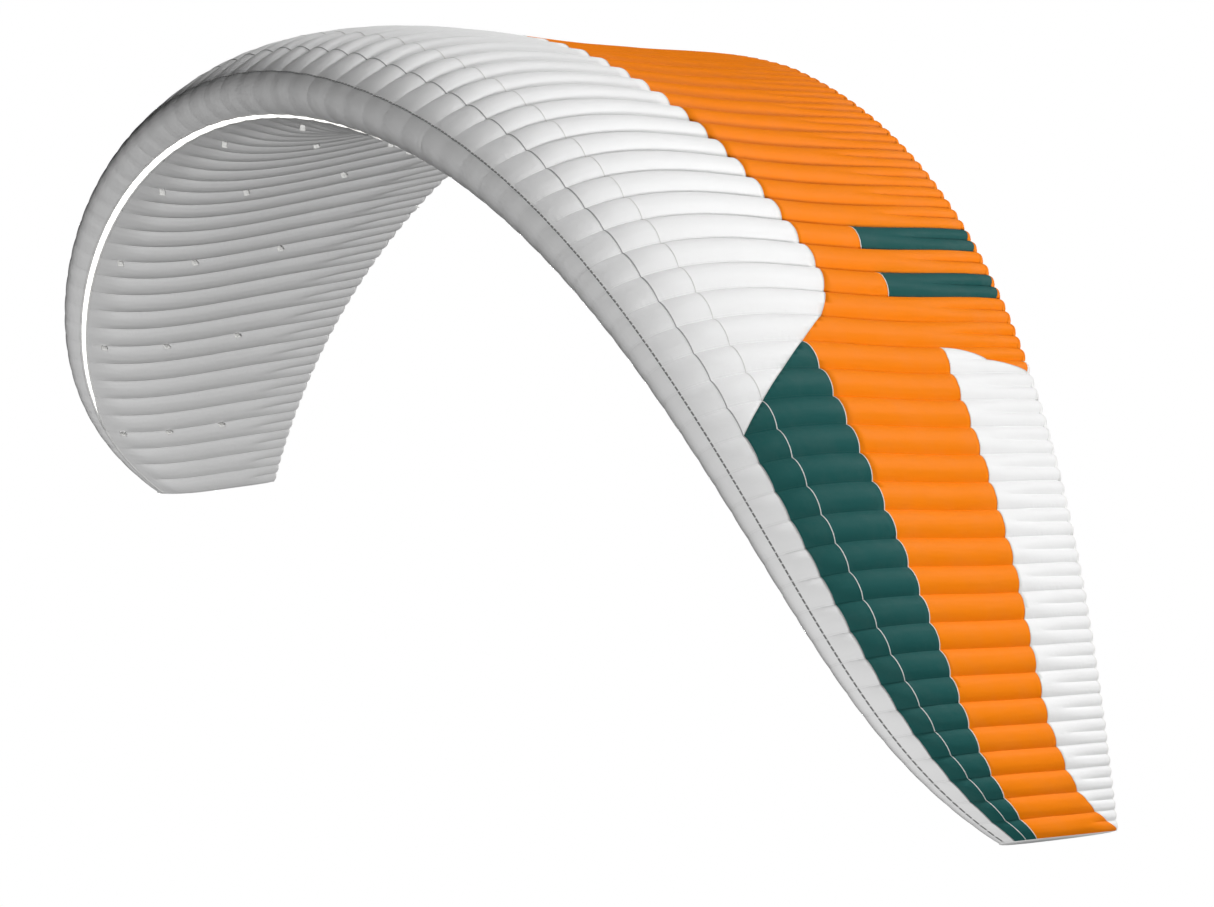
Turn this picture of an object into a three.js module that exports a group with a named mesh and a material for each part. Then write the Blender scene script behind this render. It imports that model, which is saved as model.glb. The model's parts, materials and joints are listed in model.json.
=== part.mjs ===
// A ram-air canopy: a high arch of cloth cells between an upper and a lower sail. The arch is divided
// into bays at some of its ribs, and each bay has its own nose, upper and lower panels. Two flaps at
// the rear bend down for steering, and both wing tips fold under.
// Millimetres, +Z up, X across the span with the left wing at +X, leading edge towards -Y. The origin
// is on the middle of the lower sail, above the line rows.
import * as THREE from "three";

// Driving dimensions: the plan of the wing
const HALF_ARC = 5600; // middle to wing tip, measured along the arch
const ROOT_CHORD = 2565;
const CHORD_LOSS = { steady: 0.564, tip: 0.1675 }; // shares of the root chord lost towards the tip
const TRAILING_EDGE_SWEEP = { reach: 543, early: 1.828, late: -0.828 };
const TIP_ANGLE = THREE.MathUtils.degToRad(73); // lean of the last rib
const ARCH_POWER = 1.1;
const TWIST = THREE.MathUtils.degToRad(1.7);

// The rib's outline, as shares of its chord
const THICKNESS = 0.184;
const THICKNESS_LOSS = 0.254; // share of the thickness lost at the tip
const CAMBER = 0.004;
const REAR_SLIMMING = { upper: -0.048, lower: 0.019 };

// Rib numbers count from 0 at a wing tip. The middle of the canopy is half-way through a cell.
const RIBS_TO_MIDDLE = 34.5;
const CELL_WIDENING = { near: 0.286, far: -0.085 }; // cells are wider towards the middle
const BAY_RIBS = [34, 24, 14, 9, 0];
const BAY_NAMES = ["inner", "flap", "outer", "tip"];
const INSIDE_RIBS = [29, 19];
const CLOSED_NOSE_RIB = 4; // the intake ends here

// Chord stations of the seams
const INTAKE_FRONT = 0.0362;
const INTAKE_REAR = 0.0549;
const NOSE_SEAM = 0.0223;
const COLOUR_SEAM = { inner: 0.52, flap: 0.384, outer: 0.384, tip: 0.36 };
const FLAP_HINGE = 0.773;
const LOWER_FLAP_START = 0.82; // set back, so that the flap can bend down
const LINE_ROWS = [0.11, 0.33, 0.6];

// Cloth and small parts
const CLOTH = 4; // stand-in thickness of the sail
const RIB_CLOTH = 5;
const GAP = 0.5;
const TRAILING_EDGE_ROOM = 9; // between the two sails where the lower one stops
const FLAP_END_GAP = 24;
const FLAP_HINGE_GAP = 7;
const TIP_GAP = 3;
const INSIDE_RIB_INSET = 14;
const LOOP = { width: 30, length: 36, hole: 7 };
const PORT_SHARE = 0.3; // cross-port radius, as a share of the rib's local thickness
const PORT_STATIONS = [0.16, 0.3, 0.45, 0.6];
const ROD_RADIUS = 4;
const TAPE = { width: 26, thickness: 2, above: 40 };
const HEM_WIDTH = 9;

const MATERIALS = {
  white_sail: new THREE.MeshStandardMaterial({ color: 0xf2f2f2, roughness: 0.6, metalness: 0 }),
  orange_sail: new THREE.MeshStandardMaterial({ color: 0xff8a1f, roughness: 0.6, metalness: 0 }),
  teal_sail: new THREE.MeshStandardMaterial({ color: 0x24524f, roughness: 0.6, metalness: 0 }),
  rib_cloth: new THREE.MeshStandardMaterial({ color: 0xe6e6e2, roughness: 0.7, metalness: 0 }),
  webbing: new THREE.MeshStandardMaterial({ color: 0xd8d8d4, roughness: 0.75, metalness: 0 }),
  rod_plastic: new THREE.MeshStandardMaterial({ color: 0xdfe3e6, roughness: 0.35, metalness: 0 }),
};

// Share of the half arc, from 0 in the middle to 1 at the tip, where a rib stands.
function ribStation(rib) {
  const v = 1 - rib / RIBS_TO_MIDDLE;
  return v + v * (1 - v) * (CELL_WIDENING.near + CELL_WIDENING.far * (1 - 2 * v));
}

const leanAt = (s) => Math.sign(s) * TIP_ANGLE * Math.abs(s) ** ARCH_POWER;

// The arch's front view, added up in short steps from the middle to the tip.
const ARCH_STEPS = 400;
const arch = [{ x: 0, z: 0 }];
for (let i = 0; i < ARCH_STEPS; i++) {
  const lean = leanAt((i + 0.5) / ARCH_STEPS);
  const step = HALF_ARC / ARCH_STEPS;
  arch.push({ x: arch[i].x + step * Math.cos(lean), z: arch[i].z - step * Math.sin(lean) });
}

function archPoint(s) {
  const place = Math.min(Math.abs(s) * ARCH_STEPS, ARCH_STEPS - 1e-9);
  const i = Math.floor(place);
  const f = place - i;
  const x = THREE.MathUtils.lerp(arch[i].x, arch[i + 1].x, f);
  return { x: Math.sign(s) * x, z: THREE.MathUtils.lerp(arch[i].z, arch[i + 1].z, f) };
}

const chordAt = (s) =>
  ROOT_CHORD * (1 - CHORD_LOSS.steady * s ** 2 - CHORD_LOSS.tip * s ** 12);
const trailingEdgeAt = (s) => {
  const { reach, early, late } = TRAILING_EDGE_SWEEP;
  return ROOT_CHORD - reach * (early * s ** 2 + late * s ** 4);
};

// Height of the rib's outline over its chord, as a share of the chord. The skin station w runs from -1
// at the lower trailing edge through 0 at the nose to 1 at the upper trailing edge, and w * w is the
// share of the chord.
function outlineHeight(s, w) {
  const t = w * w;
  const half = 0.2969 * w + Math.sign(w) * (-0.126 * t - 0.3516 * t ** 2 + 0.2843 * t ** 3 - 0.1036 * t ** 4);
  const hump = 4 * t * (1 - t);
  const slimming = w > 0 ? REAR_SLIMMING.upper : REAR_SLIMMING.lower;
  const height = 5 * THICKNESS * half + CAMBER * hump + slimming * hump ** 2 * (2 * t - 0.7);
  return height * (1 - THICKNESS_LOSS * s ** 2);
}

// A point of the rib plane at station s: y runs aft, h stands square to the arch.
function sectionPoint(s, w) {
  const chord = chordAt(s);
  const twist = TWIST * Math.sin(0.7 * Math.PI * Math.abs(s));
  const along = chord * (w * w - 1);
  const height = chord * outlineHeight(s, w);
  const drop = chord * Math.sin(twist);
  return new THREE.Vector2(
    trailingEdgeAt(s) + along * Math.cos(twist) + height * Math.sin(twist),
    height * Math.cos(twist) - along * Math.sin(twist) - drop,
  );
}

// The same point moved inwards by depth, square to the skin.
function skinSection(s, w, depth) {
  const reach = 1e-3;
  const from = sectionPoint(s, Math.max(w - reach, -1));
  const to = sectionPoint(s, Math.min(w + reach, 1));
  const run = to.sub(from).normalize();
  return sectionPoint(s, w).add(new THREE.Vector2(run.y, -run.x).multiplyScalar(depth));
}

const ORIGIN_STATION = -Math.sqrt(LINE_ROWS[1]);
const origin = skinSection(0, ORIGIN_STATION, 0);

function place(s, section) {
  const lean = leanAt(s);
  const { x, z } = archPoint(s);
  return new THREE.Vector3(
    x + section.y * Math.sin(lean),
    section.x - origin.x,
    z + section.y * Math.cos(lean) - origin.y,
  );
}

const skinPoint = (s, w, depth) => place(s, skinSection(s, w, depth));

// The skin station that lies shift mm further round the skin than w.
function shifted(s, w, shift) {
  const reach = 1e-3;
  const low = sectionPoint(s, w - reach);
  const high = sectionPoint(s, Math.min(w + reach, 1));
  return w + (shift * 2 * reach) / low.distanceTo(high);
}

const canopy = new THREE.Group();

function add(name, geometry, material) {
  const mesh = new THREE.Mesh(geometry, MATERIALS[material]);
  mesh.name = name;
  canopy.add(mesh);
  return mesh;
}

// A sheet of cloth on the skin between span stations from and to, and between the skin stations that
// low(s) and high(s) give. A box with many segments is bent onto the wing.
function sheet({ from, to, low, high, across, along, top = 0, thickness = CLOTH }) {
  const geometry = new THREE.BoxGeometry(1, 1, 1, across, along, 1);
  const corners = geometry.getAttribute("position");
  for (let i = 0; i < corners.count; i++) {
    const s = THREE.MathUtils.lerp(from, to, corners.getX(i) + 0.5);
    const w = THREE.MathUtils.lerp(low(s), high(s), corners.getY(i) + 0.5);
    const point = skinPoint(s, w, top + (0.5 - corners.getZ(i)) * thickness);
    corners.setXYZ(i, point.x, point.y, point.z);
  }
  return geometry;
}

const upper = (t) => () => Math.sqrt(t);
const lower = (t) => () => -Math.sqrt(t);
const trimmed = (station, shift) => (s) => shifted(s, station(s), shift);

// The lower sail stops short of the trailing edge, where the two sails meet.
function lowerTrailingEdge(s) {
  const room = 2 * CLOTH + TRAILING_EDGE_ROOM;
  let t = 0.995;
  while (chordAt(s) * (outlineHeight(s, Math.sqrt(t)) - outlineHeight(s, -Math.sqrt(t))) < room) {
    t -= 0.002;
  }
  return -Math.sqrt(t);
}

// The lower sail's front edge closes on the nose panel outboard of the intake.
function lowerFront(s) {
  const closed = ribStation(CLOSED_NOSE_RIB);
  if (Math.abs(s) < closed) return -Math.sqrt(INTAKE_REAR);
  return shifted(s, -Math.sqrt(INTAKE_FRONT), -2 * GAP);
}

// Bays, each between two ribs, on both wings
const halfRib = (RIB_CLOTH / 2 + GAP) / HALF_ARC;
const bays = [{ name: "middle", side: "", from: -ribStation(34) + halfRib, to: ribStation(34) - halfRib }];
for (const [side, sign] of [["left", 1], ["right", -1]]) {
  BAY_NAMES.forEach((name, i) => {
    const inboard = ribStation(BAY_RIBS[i]) + halfRib + (name === "tip" ? TIP_GAP / HALF_ARC : 0);
    const outboard = ribStation(BAY_RIBS[i + 1]) - halfRib * (name === "tip" ? 2 : 1);
    const ends = [sign * inboard, sign * outboard].sort((a, b) => a - b);
    bays.push({ name, side, sign, from: ends[0], to: ends[1] });
  });
}

const ACROSS = { middle: 1, inner: 6, flap: 6, outer: 3, tip: 6 };
for (const bay of bays) {
  const { from, to } = bay;
  const label = bay.side ? `${bay.name}_${bay.side}` : bay.name;
  const span = { from, to, across: ACROSS[bay.name] };
  const nose = upper(NOSE_SEAM);
  const seam = upper(COLOUR_SEAM[bay.name] ?? COLOUR_SEAM.inner);
  const rear = bay.name === "flap" ? trimmed(upper(FLAP_HINGE), -FLAP_HINGE_GAP) : upper(1);
  const lowerRear = bay.name === "flap" ? trimmed(lower(FLAP_HINGE), FLAP_HINGE_GAP) : lowerTrailingEdge;
  const frontColour = bay.name === "inner" ? "white_sail" : "teal_sail";
  add(`nose_${label}`, sheet({ ...span, low: lower(INTAKE_FRONT), high: trimmed(nose, -GAP), along: 7 }),
    "white_sail");
  if (bay.name === "middle") {
    add("upper_middle", sheet({ ...span, low: nose, high: rear, along: 11 }), "white_sail");
  } else {
    add(`upper_front_${label}`, sheet({ ...span, low: nose, high: trimmed(seam, -GAP), along: 7 }), frontColour);
    add(`upper_rear_${label}`, sheet({ ...span, low: seam, high: rear, along: 4 }), "orange_sail");
  }
  add(`lower_${label}`, sheet({ ...span, low: lowerRear, high: lowerFront, along: 7 }), "white_sail");
}

// Ribs: flat walls across the wing, cut from low to high along their outline
function ribOutline(s, stations, depth, loops) {
  const outline = [];
  for (const w of stations) {
    const row = loops && LINE_ROWS.find((t) => Math.abs(w + Math.sqrt(t)) < 1e-9);
    if (row) {
      const side = (shift) => shifted(s, w, shift * LOOP.width * 0.5);
      outline.push(skinSection(s, side(-1), 0), skinSection(s, side(-1), -LOOP.length));
      outline.push(skinSection(s, side(1), -LOOP.length), skinSection(s, side(1), 0));
    } else {
      outline.push(skinSection(s, w, depth));
    }
  }
  return outline;
}

const HOLE_SIDES = 12;

function roundHole(centre, radius) {
  const points = [];
  for (let i = 0; i < HOLE_SIDES; i++) {
    const turn = (2 * Math.PI * i) / HOLE_SIDES;
    points.push(new THREE.Vector2(radius * Math.cos(turn), radius * Math.sin(turn)).add(centre));
  }
  return new THREE.Path(points);
}

// Skin stations from the lower rear round the nose to the upper rear, closer together at the nose
function ribStations(lowEnd, highEnd, rows) {
  const stations = [];
  const steps = 11;
  for (let i = 0; i <= steps; i++) {
    stations.push(lowEnd * (1 - i / steps) ** 1.2);
    if (i > 0) stations.push(highEnd * (i / steps) ** 1.2);
  }
  const clear = stations.filter((w) => rows.every((t) => Math.abs(w + Math.sqrt(t)) > 0.03));
  rows.forEach((t) => clear.push(-Math.sqrt(t)));
  return clear.sort((a, b) => a - b);
}

const rearEnd = (t) => Math.sqrt(t);

function ribGeometry(s, { rear = 1, depth = 0, loops = true, ports = PORT_STATIONS, tape = false }) {
  const lowEnd = rear === 1 ? lowerTrailingEdge(s) : -rearEnd(rear);
  const stations = ribStations(lowEnd, rearEnd(rear === 1 ? 0.985 : rear), loops ? LINE_ROWS : []);
  const shape = new THREE.Shape(ribOutline(s, stations, depth, loops));
  for (const t of ports) {
    const top = sectionPoint(s, Math.sqrt(t));
    const bottom = sectionPoint(s, -Math.sqrt(t));
    shape.holes.push(roundHole(top.clone().lerp(bottom, 0.47), PORT_SHARE * top.distanceTo(bottom)));
  }
  if (loops) {
    for (const t of LINE_ROWS) {
      shape.holes.push(roundHole(skinSection(s, -Math.sqrt(t), -LOOP.length * 0.62), LOOP.hole));
    }
  }
  if (tape) shape.holes.push(tapeSlot(s));
  return uprightPlate(s, shape);
}

// A flat plate of rib cloth, centred on span station s and square to the arch
function uprightPlate(s, shape) {
  const geometry = new THREE.ExtrudeGeometry(shape, {
    depth: RIB_CLOTH,
    bevelEnabled: false,
    curveSegments: 6,
  });
  const lean = leanAt(s);
  const centre = archPoint(s);
  const aft = new THREE.Vector3(0, 1, 0);
  const out = new THREE.Vector3(Math.sin(lean), 0, Math.cos(lean));
  const outboard = new THREE.Vector3(Math.cos(lean), 0, -Math.sin(lean));
  geometry.translate(0, 0, -RIB_CLOTH / 2);
  geometry.applyMatrix4(new THREE.Matrix4().makeBasis(aft, out, outboard));
  return geometry.translate(centre.x, -origin.x, centre.z - origin.y);
}

// The span tape runs through a slot in each middle rib, a little above the lower sail.
function tapeSlot(s) {
  const slot = new THREE.Path();
  const corner = (shift, depth) =>
    skinSection(s, shifted(s, ORIGIN_STATION, shift * (TAPE.width / 2 + 4)), depth);
  const low = TAPE.above - 4;
  const high = TAPE.above + TAPE.thickness + 4;
  return slot.setFromPoints([corner(-1, low), corner(-1, high), corner(1, high), corner(1, low)]);
}

for (const [side, sign] of [["left", 1], ["right", -1]]) {
  for (const rib of BAY_RIBS.slice(0, -1)) {
    const tape = rib >= 24;
    add(`rib_${rib}_${side}`, ribGeometry(sign * ribStation(rib), { tape }), "rib_cloth");
  }
  const [inside, hinged] = INSIDE_RIBS;
  const inset = { depth: INSIDE_RIB_INSET, loops: false };
  add(`rib_${inside}_${side}`, ribGeometry(sign * ribStation(inside), { ...inset, rear: 0.93, tape: true }),
    "rib_cloth");
  add(`rib_${hinged}_${side}`,
    ribGeometry(sign * ribStation(hinged), { ...inset, rear: FLAP_HINGE - 0.012 }), "rib_cloth");
  const end = 1 - halfRib;
  add(`rib_0_${side}`, ribGeometry(sign * end, { loops: false, ports: [] }), "white_sail");
}

// Flaps: the rear of the flap bay, with a short rib in the middle
function flapRib(s) {
  const deep = INSIDE_RIB_INSET;
  const end = 0.93;
  const outline = [
    skinSection(s, Math.sqrt(FLAP_HINGE + 0.012), deep),
    skinSection(s, -Math.sqrt(LOWER_FLAP_START + 0.01), deep),
    skinSection(s, -Math.sqrt(end), deep / 2 + CLOTH / 2),
    skinSection(s, Math.sqrt(end), deep / 2 + CLOTH / 2),
  ];
  return uprightPlate(s, new THREE.Shape(outline));
}

// A tape along the trailing edge of the flap
function hemTape(from, to) {
  const geometry = new THREE.BoxGeometry(1, 1, 1, ACROSS.flap, 1, 1);
  const corners = geometry.getAttribute("position");
  for (let i = 0; i < corners.count; i++) {
    const s = THREE.MathUtils.lerp(from, to, corners.getX(i) + 0.5);
    const section = skinSection(s, 1, (0.5 - corners.getZ(i)) * CLOTH);
    section.x += 3 * GAP + (corners.getY(i) + 0.5) * HEM_WIDTH;
    const point = place(s, section);
    corners.setXYZ(i, point.x, point.y, point.z);
  }
  return geometry;
}

for (const bay of bays.filter(({ name }) => name === "flap")) {
  const from = bay.from + FLAP_END_GAP / HALF_ARC;
  const to = bay.to - FLAP_END_GAP / HALF_ARC;
  const span = { from, to, across: ACROSS.flap };
  add(`flap_upper_${bay.side}`,
    sheet({ ...span, low: trimmed(upper(FLAP_HINGE), FLAP_HINGE_GAP), high: upper(1), along: 3 }), "orange_sail");
  add(`flap_lower_${bay.side}`,
    sheet({ ...span, low: lowerTrailingEdge, high: lower(LOWER_FLAP_START), along: 3 }), "white_sail");
  add(`flap_rib_${bay.side}`, flapRib(bay.sign * ribStation(INSIDE_RIBS[1])), "rib_cloth");
  add(`flap_hem_${bay.side}`, hemTape(from, to), "webbing");
}

// Nose rods: bent plastic rods beside the two middle ribs, just under the skin
class RodPath extends THREE.Curve {
  constructor(s) {
    super();
    this.s = s;
  }

  getPoint(along, target = new THREE.Vector3()) {
    const w = THREE.MathUtils.lerp(-0.16, 0.62, along);
    return target.copy(skinPoint(this.s, w, CLOTH + 3 * ROD_RADIUS));
  }
}

for (const [side, sign] of [["left", 1], ["right", -1]]) {
  const section = new THREE.Shape().absarc(0, 0, ROD_RADIUS, 0, 2 * Math.PI);
  const beside = ribStation(34) + (RIB_CLOTH / 2 + 2 * ROD_RADIUS) / HALF_ARC;
  const rod = new THREE.ExtrudeGeometry(section, {
    steps: 18,
    curveSegments: 4,
    extrudePath: new RodPath(sign * beside),
  });
  add(`nose_rod_${side}`, rod, "rod_plastic");
}

const tapeEnd = ribStation(24) + 40 / HALF_ARC;
add("span_tape", sheet({
  from: -tapeEnd,
  to: tapeEnd,
  low: trimmed(lower(LINE_ROWS[1]), -TAPE.width / 2),
  high: trimmed(lower(LINE_ROWS[1]), TAPE.width / 2),
  across: 24,
  along: 1,
  top: TAPE.above,
  thickness: TAPE.thickness,
}), "webbing");

export default canopy;
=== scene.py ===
"""A ram-air canopy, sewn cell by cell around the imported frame.

Metres, +Z up, X across the span with the left wing at +X, leading edge towards -Y. A place along the span
is k, counted in cells from the middle: ribs stand at 0.5, 1.5 ... 34.5 on the left wing and at the same
negative places on the right one. Rib numbers count from 0 at a wing tip, so rib = 34.5 - abs(k). The skin
station w runs from -1 at the lower trailing edge through 0 at the nose to 1 at the upper trailing edge,
and w * w is the share of the chord.
"""

import json
import math
from functools import lru_cache

import bmesh
import bpy
from mathutils import Matrix, Vector


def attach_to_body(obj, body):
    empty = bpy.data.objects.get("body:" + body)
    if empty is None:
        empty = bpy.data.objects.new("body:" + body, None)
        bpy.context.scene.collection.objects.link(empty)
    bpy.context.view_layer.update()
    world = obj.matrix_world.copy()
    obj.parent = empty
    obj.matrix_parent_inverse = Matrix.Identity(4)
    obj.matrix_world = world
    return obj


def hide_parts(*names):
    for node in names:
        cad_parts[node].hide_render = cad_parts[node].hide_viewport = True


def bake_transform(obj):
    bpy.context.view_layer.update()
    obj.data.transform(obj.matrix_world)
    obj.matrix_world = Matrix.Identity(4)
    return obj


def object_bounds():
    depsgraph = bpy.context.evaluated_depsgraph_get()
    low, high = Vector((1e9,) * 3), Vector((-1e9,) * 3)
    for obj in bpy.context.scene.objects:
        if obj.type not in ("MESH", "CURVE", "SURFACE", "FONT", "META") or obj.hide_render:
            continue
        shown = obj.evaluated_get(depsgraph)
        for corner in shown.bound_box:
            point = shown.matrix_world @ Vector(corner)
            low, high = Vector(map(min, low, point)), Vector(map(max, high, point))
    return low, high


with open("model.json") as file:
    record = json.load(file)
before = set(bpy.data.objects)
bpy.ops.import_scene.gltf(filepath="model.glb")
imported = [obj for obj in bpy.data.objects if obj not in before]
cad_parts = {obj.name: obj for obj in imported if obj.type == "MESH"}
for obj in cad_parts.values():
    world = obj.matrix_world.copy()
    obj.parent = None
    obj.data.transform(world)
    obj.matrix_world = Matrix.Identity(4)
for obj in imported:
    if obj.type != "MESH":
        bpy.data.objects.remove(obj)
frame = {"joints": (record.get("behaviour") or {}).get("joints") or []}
CAD_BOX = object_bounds()

# The wing's plan
HALF_ARC = 5.6
ROOT_CHORD = 2.565
CHORD_LOSS_STEADY = 0.564
CHORD_LOSS_TIP = 0.1675
SWEEP_REACH = 0.543
SWEEP_EARLY = 1.828
SWEEP_LATE = -0.828
TIP_ANGLE = math.radians(73)
ARCH_POWER = 1.1
TWIST = math.radians(1.7)
TIP_K = 34.5
WIDENING_NEAR = 0.286
WIDENING_FAR = -0.085

# The rib's outline, as shares of its chord
THICKNESS = 0.184
THICKNESS_LOSS = 0.254
CAMBER = 0.004
SLIMMING_UPPER = -0.048
SLIMMING_LOWER = 0.019

# Chord shares of seams, openings and line rows
INTAKE_FRONT = 0.0362
INTAKE_REAR = 0.0549
SEAM_1 = 0.0223
SEAM_2 = 0.0954
SEAM_3 = 0.1844
LINE_ROWS = (0.11, 0.33, 0.6)
BAR_START = 0.7

# Colour borders: chord share at some ribs, from the middle to the tip
WHITE_END = ((34.5, 0.514), (28, 0.52), (22, 0.539), (21, 0.52), (20, 0.471), (19, 0.377), (17, SEAM_3),
             (16, SEAM_2))
TEAL_END = ((19, 0.377), (18, 0.386), (10, 0.383), (7, 0.366), (4, 0.324), (2, 0.294), (0, 0.273))
ORANGE_END = ((19, 0.773), (11, 0.767), (8, 0.748), (5, 0.729), (3, 0.748), (2, 0.776), (1, 0.855), (0, 1))
GUSSET_START = ((19, 0.776), (18, 1))
INTAKE_CLOSING = ((6, INTAKE_REAR), (4, INTAKE_FRONT))

# How far the air pushes a cell's cloth out, as shares of the cell's width
UPPER_BULGE = 0.19
LOWER_BULGE = 0.13
NOSE_BULGE = 0.02
UPPER_SWELLS = (0.008, 0.15)  # chord shares between which the bulge grows from the nose's to the sail's
LOWER_SWELLS = (0.06, 0.17)
FULLNESS = 2.35  # over 2, a cell's crown is flatter and its sides are steeper
HALVES_START = 0.72  # the crease that halves each cell starts here, a little ahead of the mini ribs
HALVES_FULL = 0.93
SCALLOP = 0.07  # how far each half cell's trailing edge swells aft, as a share of the cell's width
CLOSING = 0.014  # chord share over which the two sails round off to meet at the trailing edge

CLOTH = 0.0012
RIB_CLOTH = 0.0009
CELL_STEPS = 12  # mesh steps across a cell
REACH = 1e-3

SIDES = {"left": 1, "right": -1}
# Zones of a wing between two ribs, from the middle outwards, and the frame's bay that each lies in
ZONES = {
    "inner": (34, 24, "inner"),
    "flap_inner": (24, 21, "flap"),
    "flap": (21, 17, "flap"),
    "flap_outer": (17, 14, "flap"),
    "outer": (14, 12, "outer"),
    "fold": (12, 6, "outer"),
    "tip": (6, 0, "tip"),
}


def smooth(low, high, value):
    """0 below low, 1 above high and a soft step between."""
    x = min(max((value - low) / (high - low), 0), 1)
    return x * x * (3 - 2 * x)


def at(border, rib):
    """A border's chord share at a rib number."""
    if rib >= border[0][0]:
        return border[0][1]
    for (r0, t0), (r1, t1) in zip(border, border[1:]):
        if rib >= r1:
            return t1 + (t0 - t1) * (rib - r1) / (r0 - r1)
    return border[-1][1]


# ---- The wing's shape ----

ARCH_STEPS = 400


def arch_points():
    """The arch's front view, added up in short steps from the middle to the tip."""
    points = [(0.0, 0.0)]
    step = HALF_ARC / ARCH_STEPS
    for i in range(ARCH_STEPS):
        lean = TIP_ANGLE * ((i + 0.5) / ARCH_STEPS) ** ARCH_POWER
        points.append((points[-1][0] + step * math.cos(lean), points[-1][1] - step * math.sin(lean)))
    return points


ARCH = arch_points()


class Station:
    """One place along the span, with the rib plane that stands there."""

    def __init__(self, k):
        v = abs(k) / TIP_K
        widening = WIDENING_NEAR + WIDENING_FAR * (1 - 2 * v)
        s = v + v * (1 - v) * widening
        i = min(int(s * ARCH_STEPS), ARCH_STEPS - 1)
        (x0, z0), (x1, z1) = ARCH[i], ARCH[i + 1]
        past = s * ARCH_STEPS - i
        self.side = math.copysign(1, k)
        self.lean = self.side * TIP_ANGLE * s**ARCH_POWER
        self.x = self.side * (x0 + (x1 - x0) * past)
        self.z = z0 + (z1 - z0) * past
        self.span = self.side * s * HALF_ARC
        self.cell = HALF_ARC / TIP_K * (1 + (1 - 2 * v) * widening - 2 * WIDENING_FAR * v * (1 - v))
        self.chord = ROOT_CHORD * (1 - CHORD_LOSS_STEADY * s**2 - CHORD_LOSS_TIP * s**12)
        self.trailing_edge = ROOT_CHORD - SWEEP_REACH * (SWEEP_EARLY * s**2 + SWEEP_LATE * s**4)
        self.thickness = 1 - THICKNESS_LOSS * s**2
        self.twist = TWIST * math.sin(0.7 * math.pi * s)

    def section(self, w):
        """The outline's point in the rib plane: y runs aft and h stands square to the arch. The thickness is
        the usual four-digit wing section's, slimmed a little."""
        t = w * w
        hump = 4 * t * (1 - t)
        half = 0.2969 * w + math.copysign(1, w) * (-0.126 * t - 0.3516 * t**2 + 0.2843 * t**3 - 0.1036 * t**4)
        slimming = SLIMMING_UPPER if w > 0 else SLIMMING_LOWER
        share = (5 * THICKNESS * half + CAMBER * hump + slimming * hump**2 * (2 * t - 0.7)) * self.thickness
        aft, up = self.chord * (t - 1), self.chord * share
        cos, sin = math.cos(self.twist), math.sin(self.twist)
        return Vector((self.trailing_edge + aft * cos + up * sin, up * cos - aft * sin - self.chord * sin))

    def place(self, y, h):
        """A point of the rib plane in the frame."""
        return Vector((
            self.x + h * math.sin(self.lean),
            y - ORIGIN.x,
            self.z + h * math.cos(self.lean) - ORIGIN.y,
        ))

    def outward(self):
        """The direction along the arch, away from the middle."""
        return self.side * Vector((math.cos(self.lean), 0, -math.sin(self.lean)))


@lru_cache(maxsize=None)
def station(k):
    return Station(k)


ORIGIN = Station(0.0).section(-math.sqrt(LINE_ROWS[1]))


def skin_section(k, w, out):
    """The rib outline's point at w, moved out square to the skin, in the rib plane."""
    here = station(k)
    run = (here.section(min(w + REACH, 1)) - here.section(max(w - REACH, -1))).normalized()
    return here.section(w) + Vector((-run.y, run.x)) * out


def skin(k, w, out=0.0):
    return station(k).place(*skin_section(k, w, out))


def bulge(k, w):
    """How far the air pushes the cloth out between the ribs."""
    t = w * w
    across = (k + 0.5) % 1
    half = (2 * across) % 1
    halved = smooth(HALVES_START, HALVES_FULL, t)
    whole_arc, half_arc = (1 - abs(2 * place - 1) ** FULLNESS for place in (across, half))
    arc = (1 - halved) * whole_arc + halved * half_arc / 2
    if w > 0:
        share = NOSE_BULGE + (UPPER_BULGE - NOSE_BULGE) * smooth(*UPPER_SWELLS, t)
    else:
        share = NOSE_BULGE + (LOWER_BULGE - NOSE_BULGE) * smooth(*LOWER_SWELLS, t)
    shut = min((1 - t) / CLOSING, 1)
    return share * station(k).cell * arc * math.sqrt(1 - (1 - shut) ** 2)


def scallop(k, w):
    """How far the trailing edge swells aft between the ribs and the mini ribs."""
    half = 2 * (k + 0.5) % 1
    return Vector((0, SCALLOP * station(k).cell * 4 * half * (1 - half) * smooth(0.93, 1, w * w), 0))


def puffed(k, w, out):
    """A point that far outside the cloth that the air has pushed out."""
    return skin(k, w, out + bulge(k, w)) + scallop(k, w)


def moved(k, w, metres):
    """The skin station that lies that far further round the skin than w."""
    w = min(w, 1 - REACH)
    length = (skin(k, w + REACH) - skin(k, w - REACH)).length
    return min(w + metres * 2 * REACH / length, 1)


RUN_STEPS = 160


def run_lengths(side):
    """Lengths round the skin from the nose, on a chord of 1."""
    here, lengths = station(0.0), [0.0]
    for i in range(RUN_STEPS):
        step = here.section(side * (i + 1) / RUN_STEPS) - here.section(side * i / RUN_STEPS)
        lengths.append(lengths[-1] + step.length / here.chord)
    return lengths


RUNS = {1: run_lengths(1), -1: run_lengths(-1)}


def cloth_run(k, w):
    """Length of cloth round the skin from the nose to w."""
    side = 1 if w > 0 else -1
    spot = min(abs(w) * RUN_STEPS, RUN_STEPS - 1e-6)
    i = int(spot)
    lengths = RUNS[side]
    return side * station(k).chord * (lengths[i] + (lengths[i + 1] - lengths[i]) * (spot - i))


# ---- Joints of the frame, and where the cloth would bend over them ----

JOINTS = {joint["name"]: joint for joint in frame["joints"]}
FLAP_BEND = (-0.12, 0.32)  # how far before and behind the hinge the sail bends
BEND_MARGIN = 0.1
FOLD_CLEARANCE = 0.02  # how far outside the ribs a puffed cell's cloth is allowed for at the fold


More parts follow.
